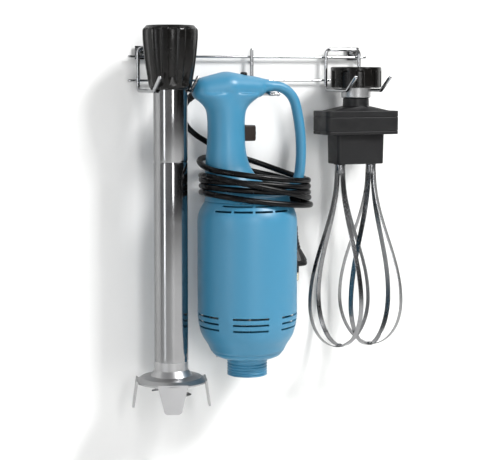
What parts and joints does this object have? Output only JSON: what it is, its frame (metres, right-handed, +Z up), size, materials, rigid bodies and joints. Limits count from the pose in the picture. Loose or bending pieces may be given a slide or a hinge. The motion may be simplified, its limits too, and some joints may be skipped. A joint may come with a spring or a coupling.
{
  "type": "immersion blender kit on wall rack",
  "caption": "Commercial immersion blender on a wire wall rack: motor unit with loop handle and wound mains cord, steel blending shaft with blade guard, and twin whisk with gearbox.",
  "frame": {"origin": "midway between the two screw holes of the wall rack, on the wall plane", "axes": "+Y into the wall, +X along the rods to the right seen from the front, +Z up"},
  "size_m": [0.3539, 0.122, 0.4507],
  "materials": {
    "chrome_wire": "polished",
    "blue_plastic": "satin",
    "black_plastic": "satin",
    "black_rubber": "satin",
    "stainless": "brushed",
    "brass": "polished",
    "copper_winding": "satin",
    "core_iron": "satin",
    "bridge_metal": "satin",
    "seal_rubber": "matte",
    "board": "satin",
    "carbon": "matte",
    "white_plastic": "satin"
  },
  "bodies": {
    "rack": {"rod_upper": "chrome_wire", "rod_lower": "chrome_wire", "bracket_left": "chrome_wire", "bracket_right": "chrome_wire", "centre_hook": "chrome_wire", "screw_lug_left": "chrome_wire", "screw_lug_right": "chrome_wire"},
    "motor_unit": {"handle_front": "blue_plastic", "handle_rear": "blue_plastic", "motor_casing": "blue_plastic", "coupling_neck": "blue_plastic", "stator_core": "core_iron", "stator_windings": "copper_winding", "bearing_bridge": "bridge_metal", "bearing_top": "stainless", "bearing_bottom": "stainless", "brush_left": "carbon", "brush_right": "carbon", "switch_box": "black_plastic", "control_board": "board", "trigger_spring": "stainless", "casing_screw_left": "stainless", "casing_screw_right": "stainless", "cord_gland": "black_rubber", "cord_lead": "black_rubber", "cord_winding": "black_rubber", "cord_tail": "black_rubber", "plug_body": "black_rubber", "plug_pin_front": "brass", "plug_pin_rear": "brass"},
    "rotor": {"armature": "core_iron", "rotor_shaft": "stainless", "commutator": "copper_winding", "cooling_fan": "white_plastic", "drive_tongue": "stainless"},
    "trigger": {"trigger": "black_plastic"},
    "safety_button": {"safety_button": "black_plastic"},
    "shaft_tool": {"shaft_tube": "stainless", "coupling_seat": "bridge_metal", "middle_bearing": "white_plastic", "shaft_seal": "seal_rubber", "blade_guard": "stainless"},
    "shaft_knob": {"shaft_knob": "black_plastic"},
    "blade_drive": {"drive_shaft": "stainless", "drive_socket": "stainless", "blade": "stainless", "blade_nut": "stainless"},
    "whisk_tool": {"input_collar": "stainless", "gearbox_cover": "black_plastic", "gearbox_base": "black_plastic"},
    "whisk_nut": {"whisk_nut": "black_plastic"},
    "whisk_input": {"input_pinion": "stainless"},
    "whisk_left": {"reduction_wheel": "white_plastic", "gear_left": "white_plastic", "whisk_left": "stainless"},
    "whisk_right": {"gear_right": "white_plastic", "whisk_right": "stainless"}
  },
  "joints": [
    {"name": "motor_unit_lift", "type": "slide", "parent": "rack", "child": "motor_unit", "axis": [0, -0.7071, 0.7071], "range_m": [0, 0.15]},
    {"name": "shaft_tool_lift", "type": "slide", "parent": "rack", "child": "shaft_tool", "axis": [0, -0.7071, 0.7071], "range_m": [0, 0.15]},
    {"name": "whisk_tool_lift", "type": "slide", "parent": "rack", "child": "whisk_tool", "axis": [0, 0, 1], "range_m": [0, 0.014]},
    {"name": "rotor_spin", "type": "hinge", "parent": "motor_unit", "child": "rotor", "pos_m": [-0.0265, -0.062, -0.3], "axis": [0, 0, 1], "continuous": true},
    {"name": "trigger_press", "type": "slide", "parent": "motor_unit", "child": "trigger", "axis": [-1, 0, 0], "range_m": [0, 0.005], "stiffness_N_per_m": 800, "springref_m": -0.003},
    {"name": "safety_button_press", "type": "slide", "parent": "motor_unit", "child": "safety_button", "axis": [0, 0, -1], "range_m": [0, 0.002], "stiffness_N_per_m": 500, "springref_m": -0.002},
    {"name": "shaft_knob_turn", "type": "hinge", "parent": "shaft_tool", "child": "shaft_knob", "pos_m": [-0.123, -0.0625, -0.01], "axis": [0, 0, 1], "continuous": true},
    {"name": "blade_spin", "type": "hinge", "parent": "shaft_tool", "child": "blade_drive", "pos_m": [-0.123, -0.0625, -0.2], "axis": [0, 0, 1], "continuous": true},
    {"name": "whisk_nut_turn", "type": "hinge", "parent": "whisk_tool", "child": "whisk_nut", "pos_m": [0.123, -0.048, -0.03], "axis": [0, 0, 1], "continuous": true},
    {"name": "whisk_left_spin", "type": "hinge", "parent": "whisk_tool", "child": "whisk_left", "pos_m": [0.102, -0.048, -0.2], "axis": [0, 0, 1], "continuous": true},
    {"name": "whisk_right_spin", "type": "hinge", "parent": "whisk_tool", "child": "whisk_right", "pos_m": [0.144, -0.048, -0.2], "axis": [0, 0, 1], "continuous": true},
    {"name": "whisk_input_spin", "type": "hinge", "parent": "whisk_tool", "child": "whisk_input", "pos_m": [0.123, -0.048, -0.06], "axis": [0, 0, 1], "continuous": true}
  ],
  "couplings": [
    {"joint": "whisk_right_spin", "follows": "whisk_left_spin", "ratio": -1},
    {"joint": "whisk_input_spin", "follows": "whisk_left_spin", "ratio": -3.1111}
  ]
}
